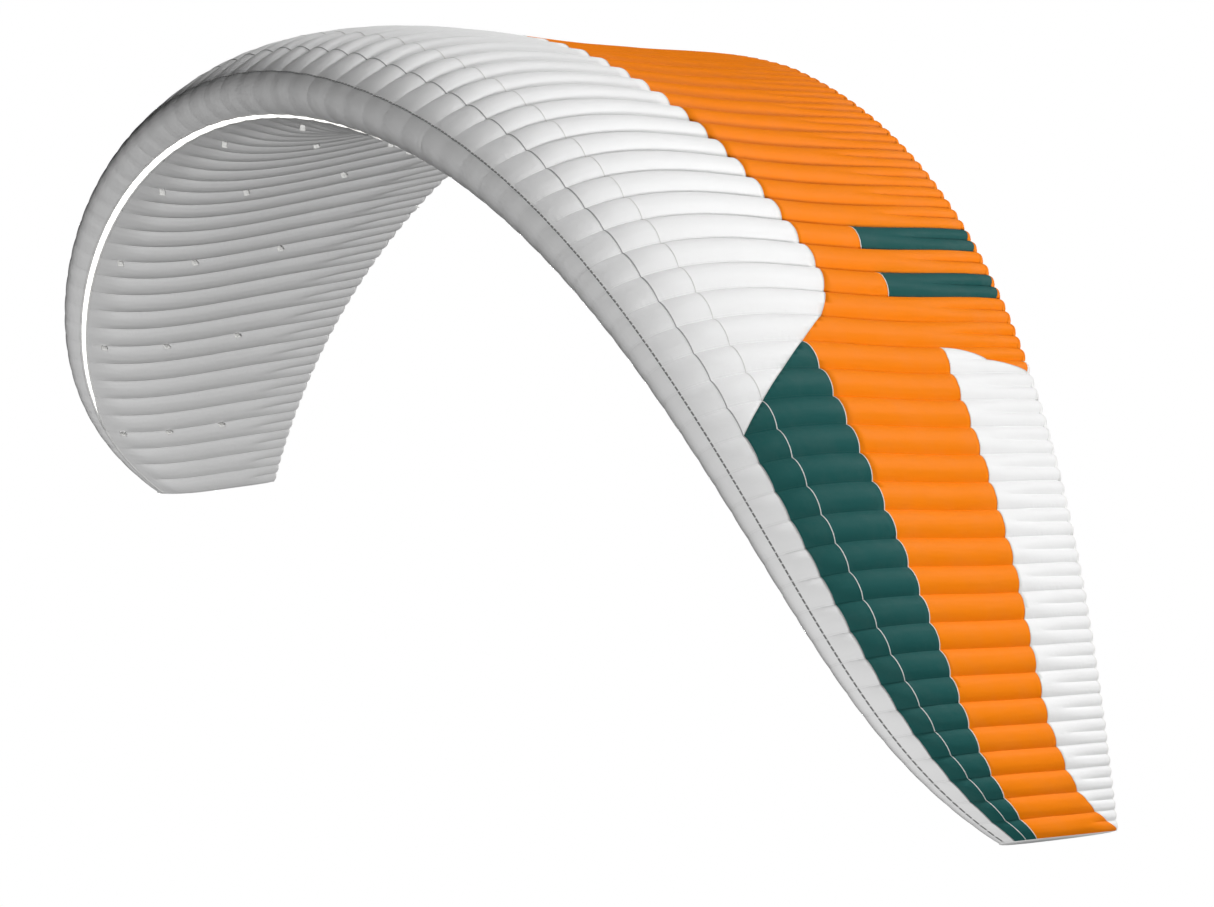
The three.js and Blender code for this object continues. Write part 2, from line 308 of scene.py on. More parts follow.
def flap_bend(zone, side):
    """Where the sail's bend over the flap hinge starts and ends. Towards the flap's two ends it fades out."""
    joint = JOINTS[f"{side}_flap_hinge"]
    hinge, axis = Vector(joint["pos_m"]), Vector(joint["axis"]).normalized()
    aft = Vector((0, 1, 0)) - axis * axis.y
    aft.normalize()
    start = hinge + aft * FLAP_BEND[0]
    rise = aft / (FLAP_BEND[1] - FLAP_BEND[0])
    if zone == "flap":
        return start, start + rise / rise.length_squared
    end = 0 if zone == "flap_inner" else 1
    full, none = ZONES["flap"][end], ZONES[zone][end]
    full_k, none_k = ((TIP_K - rib) * SIDES[side] for rib in (full, none))
    outward, edge = station(full_k).outward(), skin(full_k, 1)
    corner = skin(none_k, 1)
    start += axis * (outward.dot(edge - start) / outward.dot(axis))
    rise -= outward * ((rise.dot(corner - start) + BEND_MARGIN) / outward.dot(corner - start))
    return start, start + rise / rise.length_squared


def fold_bend(side):
    """Where the tip's fold starts and ends along the span."""
    joint = JOINTS[f"{side}_tip_fold"]
    axis = Vector(joint["axis"]).normalized()
    first, last = (TIP_K - rib for rib in ZONES["fold"][:2])
    along = station((first + last) / 2 * SIDES[side]).outward()
    along = (along - axis * along.dot(axis)).normalized()
    turns = [w / 10 for w in range(-10, 11)]
    low = max(along.dot(skin(first * SIDES[side], w, FOLD_CLEARANCE)) for w in turns)
    high = min(along.dot(skin(last * SIDES[side], w, FOLD_CLEARANCE)) for w in turns)
    return along * low, along * high


def zone_of(rib):
    """The zone that starts at a rib or runs over it."""
    return next(name for name, (inner, outer, _) in ZONES.items() if inner >= rib > outer)


def attach(piece, zone, side, bends=True):
    """Attaches a piece to the body of its zone. On the flap and the fold the piece only has its transform
    baked in: the bend's start and end are worked out, and nothing uses them. A piece in front of the flap is
    attached to the middle's body.
    """
    if zone.startswith("flap") and bends:
        start, end = flap_bend(zone, side)
        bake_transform(piece)
        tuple(start)
        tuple(end)
    elif zone == "fold":
        start, end = fold_bend(side)
        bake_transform(piece)
        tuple(start)
        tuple(end)
    else:
        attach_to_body(piece, f"{side}_tip" if zone == "tip" else "centre")


# ---- Materials ----

def join(tree, value, socket):
    """Feeds a socket from another socket, or sets it to a value."""
    if isinstance(value, bpy.types.NodeSocket):
        tree.links.new(value, socket)
    else:
        socket.default_value = value


def maths(tree, operation, *values, clamp=False):
    node = tree.nodes.new("ShaderNodeMath")
    node.operation = operation
    node.use_clamp = clamp
    for value, socket in zip(values, node.inputs):
        join(tree, value, socket)
    return node.outputs[0]


def blend_colour(tree, factor, first, second):
    node = tree.nodes.new("ShaderNodeMix")
    node.data_type = "RGBA"
    join(tree, factor, node.inputs["Factor"])
    join(tree, first, node.inputs[6])
    join(tree, second, node.inputs[7])
    return node.outputs[2]


def stretched(tree, vector, scale):
    node = tree.nodes.new("ShaderNodeVectorMath")
    node.operation = "MULTIPLY"
    join(tree, vector, node.inputs[0])
    node.inputs[1].default_value = scale
    return node.outputs[0]


def noise(tree, vector, scale, detail, roughness=0.5):
    node = tree.nodes.new("ShaderNodeTexNoise")
    tree.links.new(vector, node.inputs["Vector"])
    node.inputs["Scale"].default_value = scale
    node.inputs["Detail"].default_value = detail
    node.inputs["Roughness"].default_value = roughness
    return node.outputs["Fac"]


def axes_of(tree, vector):
    node = tree.nodes.new("ShaderNodeSeparateXYZ")
    tree.links.new(vector, node.inputs[0])
    return node.outputs[0], node.outputs[1]


def shader_group(name, vectors, numbers, outputs):
    """An empty node group with its named sockets."""
    tree = bpy.data.node_groups.new(name, "ShaderNodeTree")
    for label in vectors:
        tree.interface.new_socket(label, in_out="INPUT", socket_type="NodeSocketVector")
    for label, value in numbers.items():
        socket = tree.interface.new_socket(label, in_out="INPUT", socket_type="NodeSocketFloat")
        socket.default_value = value
    for label in outputs:
        tree.interface.new_socket(label, in_out="OUTPUT", socket_type="NodeSocketFloat")
    return tree, tree.nodes.new("NodeGroupInput").outputs, tree.nodes.new("NodeGroupOutput").inputs


def ripstop_group():
    """Thicker threads at a steady pitch both ways, over a fine plain weave."""
    tree, given, made = shader_group("ripstop", ["Cloth"], {"Pitch": 0.005, "Thread": 0.1},
                                     ["Threads", "Height"])
    lines, ripples = [], []
    for axis in axes_of(tree, given["Cloth"]):
        cycle = maths(tree, "DIVIDE", axis, given["Pitch"])
        from_line = maths(tree, "PINGPONG", cycle, 0.5)
        lines.append(maths(tree, "LESS_THAN", from_line, given["Thread"]))
        ripples.append(maths(tree, "SINE", maths(tree, "MULTIPLY", cycle, 2 * math.pi * 12)))
    threads = maths(tree, "MAXIMUM", *lines)
    weave = maths(tree, "MULTIPLY", maths(tree, "MULTIPLY", *ripples), 0.3)
    tree.links.new(threads, made["Threads"])
    tree.links.new(maths(tree, "ADD", threads, weave), made["Height"])
    return tree


def stitching_group():
    """Two rows of stitches beside each rib, and a faint pucker across them."""
    tree, given, made = shader_group("stitching", ["Cells", "Cloth"], {"Row": 0.035, "Stitch": 0.006},
                                     ["Stitches", "Pucker"])
    across, _ = axes_of(tree, given["Cells"])
    from_rib = maths(tree, "PINGPONG", across, 0.5)
    off_row = maths(tree, "ABSOLUTE", maths(tree, "SUBTRACT", from_rib, given["Row"]))
    row = maths(tree, "LESS_THAN", off_row, 0.006)
    _, run = axes_of(tree, given["Cloth"])
    cycle = maths(tree, "FRACT", maths(tree, "DIVIDE", run, given["Stitch"]))
    tree.links.new(maths(tree, "MULTIPLY", row, maths(tree, "LESS_THAN", cycle, 0.6)), made["Stitches"])
    near = maths(tree, "SUBTRACT", 1, maths(tree, "MULTIPLY", from_rib, 5), clamp=True)
    folds = noise(tree, stretched(tree, given["Cloth"], (4, 60, 1)), 1, 2)
    tree.links.new(maths(tree, "MULTIPLY", near, folds), made["Pucker"])
    return tree


def crinkle_group():
    """Soft creases of handled cloth: long ones along the cells and short ones all over."""
    tree, given, made = shader_group("crinkle", ["Cloth"], {}, ["Tone", "Height"])
    long_folds = noise(tree, stretched(tree, given["Cloth"], (26, 3.5, 1)), 1, 3)
    short_folds = noise(tree, given["Cloth"], 34, 4, 0.6)
    broad = noise(tree, given["Cloth"], 1.7, 2)
    height = maths(tree, "ADD", long_folds, maths(tree, "MULTIPLY", short_folds, 0.5))
    tree.links.new(height, made["Height"])
    tone = maths(tree, "ADD", maths(tree, "MULTIPLY", broad, 0.7), maths(tree, "MULTIPLY", height, 0.2))
    tree.links.new(tone, made["Tone"])
    return tree


def soil_group():
    """Dust from the ground, with more of it along the trailing edge."""
    tree, given, made = shader_group("soil", ["Cells", "Cloth"], {"Amount": 0.12}, ["Soil"])
    _, chordwise = axes_of(tree, given["Cells"])
    aft = maths(tree, "MULTIPLY", maths(tree, "ABSOLUTE", chordwise), 8)
    edge = maths(tree, "SUBTRACT", aft, 7.1, clamp=True)
    cloudy = maths(tree, "MULTIPLY", noise(tree, given["Cloth"], 5, 5, 0.7), 2.4)
    patches = maths(tree, "SUBTRACT", cloudy, 1.1, clamp=True)
    spread = maths(tree, "MULTIPLY", patches, maths(tree, "ADD", maths(tree, "MULTIPLY", edge, 0.7), 0.3))
    tree.links.new(maths(tree, "MULTIPLY", spread, given["Amount"]), made["Soil"])
    return tree


GROUPS = {
    "ripstop": ripstop_group(),
    "stitching": stitching_group(),
    "crinkle": crinkle_group(),
    "soil": soil_group(),
}


def use_group(tree, name, **given):
    node = tree.nodes.new("ShaderNodeGroup")
    node.node_tree = GROUPS[name]
    for label, value in given.items():
        join(tree, value, node.inputs[label])
    return node.outputs


def bare_material(name, roughness):
    material = bpy.data.materials.new(name)
    material.use_nodes = True
    shader = material.node_tree.nodes["Principled BSDF"]
    shader.inputs["Roughness"].default_value = roughness
    return material, material.node_tree, shader


def uv(tree, layer):
    node = tree.nodes.new("ShaderNodeUVMap")
    node.uv_map = layer
    return node.outputs[0]


def bump(tree, height, distance):
    node = tree.nodes.new("ShaderNodeBump")
    node.inputs["Strength"].default_value = 1.0
    node.inputs["Distance"].default_value = distance
    tree.links.new(height, node.inputs["Height"])
    return node.outputs[0]


SOIL_COLOUR = (0.42, 0.4, 0.36, 1)


def sailcloth(name, colour, thread, roughness=0.52, glow=0.0):
    """Coated ripstop. The inner side's glow stands in for the daylight that comes through real cloth."""
    material, tree, shader = bare_material(name, roughness)
    cloth, cells = uv(tree, "cloth"), uv(tree, "cells")
    ripstop = use_group(tree, "ripstop", Cloth=cloth)
    stitching = use_group(tree, "stitching", Cells=cells, Cloth=cloth)
    crinkle = use_group(tree, "crinkle", Cloth=cloth)
    soil = use_group(tree, "soil", Cells=cells, Cloth=cloth)
    deeper = tuple(c * 0.93 for c in colour) + (1,)
    woven = blend_colour(tree, maths(tree, "MULTIPLY", ripstop["Threads"], 0.6), (*colour, 1), deeper)
    toned = blend_colour(tree, crinkle["Tone"], deeper, woven)
    sewn = blend_colour(tree, maths(tree, "MULTIPLY", stitching["Stitches"], 0.8), toned, (*thread, 1))
    tree.links.new(blend_colour(tree, soil["Soil"], sewn, SOIL_COLOUR), shader.inputs["Base Color"])
    shine = maths(tree, "ADD", maths(tree, "MULTIPLY", crinkle["Tone"], 0.12), roughness - 0.06)
    dulling = maths(tree, "MULTIPLY", soil["Soil"], 0.3)
    tree.links.new(maths(tree, "ADD", shine, dulling), shader.inputs["Roughness"])
    fine = maths(tree, "MULTIPLY", ripstop["Height"], 0.0002)
    folds = maths(tree, "MULTIPLY", crinkle["Height"], 0.0022)
    pucker = maths(tree, "MULTIPLY", stitching["Pucker"], 0.003)
    sewing = maths(tree, "MULTIPLY", stitching["Stitches"], 0.0005)
    height = maths(tree, "ADD", maths(tree, "ADD", fine, folds), maths(tree, "ADD", pucker, sewing))
    tree.links.new(bump(tree, height, 1.0), shader.inputs["Normal"])
    shader.inputs["Specular IOR Level"].default_value = 0.03
    shader.inputs["Emission Color"].default_value = (*colour, 1)
    shader.inputs["Emission Strength"].default_value = glow
    return material


TAPE_RIBBING = 0.0016  # pitch of the woven ribs across a tape


def tape(name, colour, dash=0.0, gap_colour=None):
    """Sewn tape: a ribbed weave, or stitches of that length with gaps between them."""
    material, tree, shader = bare_material(name, 0.7)
    cloth = uv(tree, "cloth")
    along, _ = axes_of(tree, cloth)
    waves = maths(tree, "SINE", maths(tree, "MULTIPLY", along, 2 * math.pi / TAPE_RIBBING))
    ribbing = maths(tree, "MULTIPLY", waves, 0.5)
    grain = noise(tree, cloth, 300, 3)
    tone = maths(tree, "ADD", maths(tree, "MULTIPLY", grain, 0.5), maths(tree, "MULTIPLY", ribbing, 0.2))
    worn = blend_colour(tree, tone, tuple(c * 0.85 for c in colour) + (1,), (*colour, 1))
    if dash:
        cycle = maths(tree, "FRACT", maths(tree, "DIVIDE", along, dash))
        worn = blend_colour(tree, maths(tree, "GREATER_THAN", cycle, 0.78), worn, (*gap_colour, 1))
    tree.links.new(worn, shader.inputs["Base Color"])
    tree.links.new(bump(tree, maths(tree, "ADD", ribbing, grain), 0.0003), shader.inputs["Normal"])
    tree.links.new(maths(tree, "ADD", maths(tree, "MULTIPLY", grain, 0.2), 0.6), shader.inputs["Roughness"])
    return material


def rod_plastic():
    """Translucent white nylon rod with faint drawing marks along it."""
    material, tree, shader = bare_material("rod_plastic", 0.3)
    cloth = uv(tree, "cloth")
    marks = noise(tree, stretched(tree, cloth, (900, 12, 1)), 1, 2)
    tree.links.new(blend_colour(tree, marks, (0.72, 0.76, 0.78, 1), (0.82, 0.85, 0.87, 1)),
                   shader.inputs["Base Color"])
    tree.links.new(maths(tree, "ADD", maths(tree, "MULTIPLY", marks, 0.15), 0.22), shader.inputs["Roughness"])
    tree.links.new(bump(tree, marks, 0.0001), shader.inputs["Normal"])
    return material


WHITE = (0.76, 0.76, 0.76)
ORANGE = (0.8, 0.2, 0.004)
TEAL = (0.014, 0.08, 0.076)
# The lower sail is the same white cloth as the upper one. Its colour, and its threads' colour below, are set
# darker than the white sail's as painted shade for the underside.
UNDERSIDE_WHITE_PAINTED_SHADE = (0.68, 0.68, 0.68)
RIB_WHITE = (0.85, 0.85, 0.83)
INNER_GLOW = 0.8

MATERIALS = {
    "white": sailcloth("white_sail", WHITE, (0.6, 0.6, 0.6)),
    "orange": sailcloth("orange_sail", ORANGE, (0.75, 0.2, 0.015)),
    "teal": sailcloth("teal_sail", TEAL, (0.03, 0.09, 0.085)),
    "underside": sailcloth("underside_sail", UNDERSIDE_WHITE_PAINTED_SHADE, (0.55, 0.55, 0.55)),
    "white_inside": sailcloth("white_sail_inside", WHITE, (0.6, 0.6, 0.6), glow=INNER_GLOW),
    "orange_inside": sailcloth("orange_sail_inside", ORANGE, (0.75, 0.2, 0.015), glow=INNER_GLOW),
    "teal_inside": sailcloth("teal_sail_inside", TEAL, (0.03, 0.09, 0.085), glow=INNER_GLOW),
    "underside_inside": sailcloth("underside_sail_inside", UNDERSIDE_WHITE_PAINTED_SHADE, (0.55, 0.55, 0.55), glow=0.2),
    "rib": sailcloth("rib_cloth", RIB_WHITE, (0.7, 0.7, 0.68), 0.6, glow=0.7),
    "webbing": tape("webbing", (0.84, 0.84, 0.82)),
    "binding": tape("binding", (0.82, 0.82, 0.81)),
    "nose_thread": tape("nose_thread", (0.2, 0.2, 0.2), 0.032, (0.62, 0.62, 0.62)),
    "grey_thread": tape("grey_thread", (0.33, 0.33, 0.33)),
    "pale_thread": tape("pale_thread", (0.66, 0.66, 0.64)),
    "rod": rod_plastic(),
}
SLOTS = {"white": "white_sail", "orange": "orange_sail", "teal": "teal_sail", "underside": "lower_sail",
         "rib": "rib_cloth", "rod": "rod_plastic"}


# ---- Sewing ----

def add_grid(bm, columns, rows, shape, material=0, lines=None):
    """Adds a grid whose points shape(u, v) gives, with u and v from 0 to 1. lines gives each point's two
    texture places, as cloth metres and as cells."""
    grid = bmesh.ops.create_grid(bm, x_segments=columns, y_segments=rows, size=0.5)["verts"]
    layers = bm.loops.layers.uv
    cloth, cells = (layers.get(name) or layers.new(name) for name in ("cloth", "cells"))
    marks = {}
    for vert in grid:
        u, v = vert.co.x + 0.5, vert.co.y + 0.5
        vert.co = shape(u, v)
        marks[vert] = lines(u, v)
    for face in {face for vert in grid for face in vert.link_faces}:
        face.smooth = True
        face.material_index = material
        for loop in face.loops:
            loop[cloth].uv, loop[cells].uv = marks[loop.vert]
    return marks


def mesh_stations():
    """The skin stations that every sail's mesh shares, close together where the skin turns sharply."""
    turns = [i / 100 for i in range(20)] + [i / 50 for i in range(10, 40)] + [i / 100 for i in range(80, 99)]
    turns += [0.9875, 0.993, 0.9955, 0.9975, 0.999, 1.0]
    return sorted({side * w for w in turns for side in (1, -1)})


STATIONS = mesh_stations()


def lay(bm, span, low, high, rows=None, out=CLOTH, material=0):
    """Lays cloth on the wing from k to k along the span, and round the skin from low(rib) to high(rib).
    Without rows, the mesh keeps to the shared stations, so that neighbouring pieces meet."""
    near, far = span
    columns = round((far - near) * CELL_STEPS)
    places = [round(near + i / CELL_STEPS, 4) for i in range(columns + 1)]
    ends = {k: (low(TIP_K - abs(k)), high(TIP_K - abs(k))) for k in places}
    if rows is None:
        lowest, highest = min(end[0] for end in ends.values()), max(end[1] for end in ends.values())
        turns = [w for w in STATIONS if lowest < w < highest]
        turns = [lowest] + turns + [highest]
    else:
        turns = [i / rows for i in range(rows + 1)]

    def spot(u, v):
        k = places[round(u * columns)]
        start, end = ends[k]
        turn = turns[round(v * (len(turns) - 1))]
        return k, min(max(turn, start), end) if rows is None else start + (end - start) * turn

    def shape(u, v):
        k, w = spot(u, v)
        return puffed(k, w, out)

    def lines(u, v):
        k, w = spot(u, v)
        return (station(k).span, cloth_run(k, w)), (k + 0.5, w * abs(w))

    marks = add_grid(bm, columns, len(turns) - 1, shape, material, lines)
    for edge in {edge for vert in marks for edge in vert.link_edges}:
        (across_0, t_0), (across_1, t_1) = (marks[vert][1] for vert in edge.verts)
        on_rib = across_0 == across_1 and across_0 % 1 == 0
        on_mini_rib = across_0 == across_1 and across_0 % 1 == 0.5 and min(abs(t_0), abs(t_1)) > 0.8
        edge.smooth = not (on_rib or on_mini_rib)


def make(name, bm, finishes, thickness=CLOTH, inside=None, offset=-1.0):
    """Turns a mesh into a piece with its cloth's thickness."""
    bmesh.ops.remove_doubles(bm, verts=bm.verts, dist=1e-6)
    mesh = bpy.data.meshes.new(name)
    bm.to_mesh(mesh)
    bm.free()
    piece = bpy.data.objects.new(name, mesh)
    bpy.context.scene.collection.objects.link(piece)
    for finish in finishes + ([inside] if inside else []):
        mesh.materials.append(MATERIALS[finish])
    if thickness:
        wall = piece.modifiers.new("cloth", "SOLIDIFY")
        wall.thickness = thickness
        wall.offset = offset
        wall.material_offset = len(finishes) if inside else 0
    SLOTS.get(finishes[0], "webbing")
    return piece


def upper(border):
    return lambda rib: math.sqrt(at(border, rib))


def steady(w):
    return lambda rib: w


nose_line, tail_line = steady(math.sqrt(SEAM_1)), steady(1.0)
lip_front = steady(-math.sqrt(INTAKE_FRONT))


def lip_rear(rib):
    return -math.sqrt(at(INTAKE_CLOSING, rib))


bar = steady(math.sqrt(BAR_START))
# Panels of the sails: name, finish, from rib, to rib, low edge, high edge, the frame's node they stand for
PANELS = [
    ("nose_cloth", "white", 34.5, 0, lip_front, nose_line, "nose"),
    ("white_front", "white", 34.5, 0, nose_line, upper(WHITE_END), "upper_front"),
    ("teal_front", "teal", 19, 0, upper(WHITE_END), upper(TEAL_END), "upper_front"),
    ("orange_back", "orange", 34.5, 24, upper(WHITE_END), tail_line, "upper_rear"),
    ("orange_back_a", "orange", 24, 23, upper(WHITE_END), bar, "upper_rear"),
    ("teal_bar_a", "teal", 24, 23, bar, tail_line, "upper_rear"),
    ("orange_back_b", "orange", 23, 22, upper(WHITE_END), tail_line, "upper_rear"),
    ("orange_back_c", "orange", 22, 21, upper(WHITE_END), bar, "upper_rear"),
    ("teal_bar_c", "teal", 22, 21, bar, tail_line, "upper_rear"),
    ("orange_back", "orange", 21, 19, upper(WHITE_END), tail_line, "upper_rear"),
    ("orange_band", "orange", 19, 0, upper(TEAL_END), upper(ORANGE_END), "upper_rear"),
    ("white_rear", "white", 19, 0, upper(ORANGE_END), upper(GUSSET_START), "upper_rear"),
    ("orange_gusset", "orange", 19, 18, upper(GUSSET_START), tail_line, "upper_rear"),
    ("underside", "underside", 34.5, 0, steady(-1.0), lip_rear, "lower"),
]
HOLDING_RIBS = (34, 24, 14, 9, 0)
UNBENT = ("nose_cloth", "white_front", "teal_front")  # in front of the flap hinges


def wing_parts():
    """Every zone of both wings, with its label, its two ribs and its bay of the frame."""
    yield "middle", "left", "middle", 34.5, 34, "middle"
    for side in SIDES:
        for zone, (inner, outer, bay) in ZONES.items():
            yield zone, side, f"{zone}_{side}", inner, outer, f"{bay}_{side}"


def span_of(zone, side, inner, outer):
    """The stretch between two ribs in rising order of k. The middle cell crosses to the other wing."""
    if zone == "middle":
        return -0.5, 0.5
    return tuple(sorted((SIDES[side] * (TIP_K - inner), SIDES[side] * (TIP_K - outer))))


def holding_rib(side, outer):
    """The frame's next rib from there outwards."""
    return f"rib_{next(rib for rib in HOLDING_RIBS if rib <= outer)}_{side}"


def sew_panel(panel, zone, side, label, inner, outer, bay):
    name, finish, first, last, low, high, node = panel
    inner, outer = min(inner, first), max(outer, last)
    if inner <= outer:
        return
    bm = bmesh.new()
    lay(bm, span_of(zone, side, inner, outer), low, high)
    piece = make(f"{name}_{label}", bm, [finish], inside=f"{finish}_inside")
    attach(piece, zone, side, bends=name not in UNBENT)
    node = "upper" if zone == "middle" and node.startswith("upper") else node
    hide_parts(f"{node}_{bay}")
    if bay.startswith("flap"):
        if node == "upper_rear":
            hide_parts(f"flap_upper_{side}")
        if node == "lower":
            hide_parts(f"flap_lower_{side}")
    holding_rib(side, outer)


def shifted(line, metres, widen=lambda rib: 1.0):
    """A line round the skin, moved along the cloth."""
    def place(rib):
        return moved(TIP_K - rib, line(rib), metres * widen(rib))
    return place


def slant(border):
    """How much wider a line is along the chord where it runs slantwise over the cells."""
    def widen(rib):
        here = station(TIP_K - rib)
        rise = (at(border, rib + 0.5) - at(border, rib - 0.5)) * here.chord
        return min(math.hypot(1, rise / here.cell), 2.2)
    return widen


TAPE_LIFT = CLOTH + 0.0008
# Sewn lines along the span: finish, from rib, to rib, line, width, widening
SEAMS = [
    ("nose_thread", 34.5, 0, nose_line, 0.009, steady(1.0)),
    ("grey_thread", 34.5, 0, steady(math.sqrt(SEAM_2)), 0.006, steady(1.0)),
    ("pale_thread", 34.5, 0, steady(math.sqrt(SEAM_3)), 0.005, steady(1.0)),
    ("pale_thread", 34.5, 16, upper(WHITE_END), 0.005, slant(WHITE_END)),
    ("pale_thread", 19, 0, upper(TEAL_END), 0.005, slant(TEAL_END)),
    ("pale_thread", 19, 1, upper(ORANGE_END), 0.005, slant(ORANGE_END)),
    ("pale_thread", 19, 18, upper(GUSSET_START), 0.005, slant(GUSSET_START)),
    ("pale_thread", 24, 23, bar, 0.005, steady(1.0)),
    ("pale_thread", 22, 21, bar, 0.005, steady(1.0)),
    ("binding", 34.5, 0, lip_front, 0.012, steady(1.0)),
    ("binding", 34.5, 0, lip_rear, 0.012, steady(1.0)),
]
SEAM_FINISHES = ["nose_thread", "grey_thread", "pale_thread", "binding"]


def sew_seams(zone, side, label, inner, outer, bay):
    """The sewn lines of a zone and the bindings of its air intake."""
    bm = bmesh.new()
    for finish, first, last, line, width, widen in SEAMS:
        a, b = min(inner, first), max(outer, last)
        if a > b:
            low, high = (shifted(line, reach * width, widen) for reach in (-0.5, 0.5))
            lay(bm, span_of(zone, side, a, b), low, high, rows=2, out=TAPE_LIFT,
                material=SEAM_FINISHES.index(finish))
    piece = make(f"seams_{label}", bm, SEAM_FINISHES, thickness=0.0007)
    attach(piece, zone, side)


HEM_TURN = ((0.995, 1), (0.9985, 1), (1.0, 1), (0, 0), (-1.0, 1), (-0.9985, 1), (-0.995, 1))


def sew_hem(zone, side, label, inner, outer, bay):
    """The tape folded round the trailing edge, in the colour of the sail above it."""
    bm = bmesh.new()
    finishes = ["orange", "binding"]
    for first, last, material in ((34.5, 18.5, 0), (18.5, 0, 1)):
        a, b = min(inner, first), max(outer, last)
        if a <= b:
            continue
        near, far = span_of(zone, side, a, b)

        def shape(u, v):
            k = round(near + (far - near) * u, 4)
            w, outside = HEM_TURN[round(v * 6)]
            if outside:
                return puffed(k, w, TAPE_LIFT)
            return skin(k, 1.0) + scallop(k, 1.0) + Vector((0, TAPE_LIFT, 0))

        def lines(u, v):
            k = near + (far - near) * u
            return (station(k).span, 0.02 * v), (0.25, 0)

        add_grid(bm, round((far - near) * CELL_STEPS), 6, shape, material, lines)
    piece = make(f"hem_{label}", bm, finishes, thickness=0.0007)
    attach(piece, zone, side)
    if bay.startswith("flap"):
        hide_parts(f"flap_hem_{side}")


WALL_INSET = -0.0014  # walls stop short of the sails, so as not to show through them at a bend
PORTS = (0.16, 0.3, 0.45, 0.6)
PORT_REACH = 0.3  # a port's radius as a share of the rib's height there
PORT_DEPTH = 0.47  # its middle below the upper sail, as a share of that height
FRAME_RIBS = (34, 29, 24, 19, 14, 9)


def ring(bm, segments, place):
    """A closed ring of edges through place(turn), with turn from -1 to 1."""
    verts = bmesh.ops.create_circle(bm, segments=segments, radius=1)["verts"]
    for vert in verts:
        vert.co = (*place(math.atan2(vert.co.y, vert.co.x) / math.pi), 0)


TAPE_WIDTH = 0.026
TAPE_ABOVE = 0.04  # the span tape's height over the lower sail
TAPE_LAST_RIB = 24
TAPE_END = TIP_K - TAPE_LAST_RIB + 0.2
SLOT_MARGIN = 0.004


def tape_slot(k):
    """The corners of the slot that the span tape runs through, in the rib plane."""
    w = -math.sqrt(LINE_ROWS[1])
    reach = TAPE_WIDTH / 2 + SLOT_MARGIN
    corners = ((-1, -1), (1, -1), (1, 1), (-1, 1))
    return [skin_section(k, moved(k, w, x * reach), -TAPE_ABOVE + y * SLOT_MARGIN) for x, y in corners]


def sew_wall(rib, side):
    """The cloth rib between two cells, with the ports that let air through it."""
    k = SIDES[side] * (TIP_K - rib)
    here = station(k)
    bm = bmesh.new()
    ring(bm, 140, lambda turn: skin_section(k, min(max(turn, -0.992), 0.992), WALL_INSET))
    for t in PORTS:
        top, bottom = here.section(math.sqrt(t)), here.section(-math.sqrt(t))
        centre, radius = top.lerp(bottom, PORT_DEPTH), PORT_REACH * (top - bottom).length

        def rim(turn):
            angle = turn * math.pi
            return centre + radius * Vector((math.cos(angle), math.sin(angle)))

        ring(bm, 24, rim)
    if rib >= TAPE_LAST_RIB:
        corners = tape_slot(k)
        ring(bm, 4, lambda turn: corners[round(2 * turn) % 4])
    bmesh.ops.triangle_fill(bm, use_beauty=True, use_dissolve=False, edges=bm.edges)
    cloth, cells = (bm.loops.layers.uv.new(name) for name in ("cloth", "cells"))
    for face in bm.faces:
        for loop in face.loops:
            loop[cloth].uv, loop[cells].uv = loop.vert.co.xy, (0.5, 0)
    for vert in bm.verts:
        vert.co = here.place(vert.co.x, vert.co.y)
    piece = make(f"cell_wall_{rib}_{side}", bm, ["rib"], thickness=RIB_CLOTH, offset=0.0)
    attach(piece, zone_of(rib), side)
    if rib in FRAME_RIBS:
        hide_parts(f"rib_{rib}_{side}")
    if rib == 19:
        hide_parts(f"flap_rib_{side}")
    holding_rib(side, rib)


def sew_span_tape():
    """The strap that joins the middle ribs a little above the lower sail."""
    line = steady(-math.sqrt(LINE_ROWS[1]))
    low, high = shifted(line, -TAPE_WIDTH / 2), shifted(line, TAPE_WIDTH / 2)

    def shape(u, v):
        k = TAPE_END * (2 * u - 1)
        rib = TIP_K - abs(k)
        return skin(k, low(rib) + (high(rib) - low(rib)) * v, -TAPE_ABOVE)

    def lines(u, v):
        return (station(TAPE_END * (2 * u - 1)).span, TAPE_WIDTH * v), (0.5, 0)

    bm = bmesh.new()
    add_grid(bm, 120, 2, shape, 0, lines)
    piece = make("span_strap", bm, ["webbing"], thickness=0.0015, offset=0.0)
    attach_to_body(piece, "centre")
    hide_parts("span_tape")
    length = 2 * station(TAPE_END).span


TIP_BALLOON = 0.016


def sew_tip_wall(side):
    """The wing tip's own wall, which the air pushes out."""
    here = station(SIDES[side] * TIP_K)

    def shape(u, v):
        w = min(u, 0.997)
        top, bottom = here.section(w), here.section(-w)
        spot = bottom.lerp(top, v)
        full = 4 * v * (1 - v) * math.sqrt(max(4 * u * (1 - u), 0))
        return here.place(*spot) + here.outward() * TIP_BALLOON * full

    def lines(u, v):
        return (here.chord * u * u, 0.3 * v), (0.5, 0)

    bm = bmesh.new()
    add_grid(bm, 36, 8, shape, 0, lines)
    bmesh.ops.remove_doubles(bm, verts=bm.verts, dist=1e-6)
    bmesh.ops.recalc_face_normals(bm, faces=bm.faces)
    piece = make(f"tip_wall_{side}", bm, ["underside"], inside="underside_inside", thickness=RIB_CLOTH,
                 offset=0.0)
    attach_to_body(piece, f"{side}_tip")
    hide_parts(f"rib_0_{side}")
    height = max((here.section(w / 50) - here.section(-w / 50)).length for w in range(51))


MINI_START, MINI_END = 0.8, 0.985


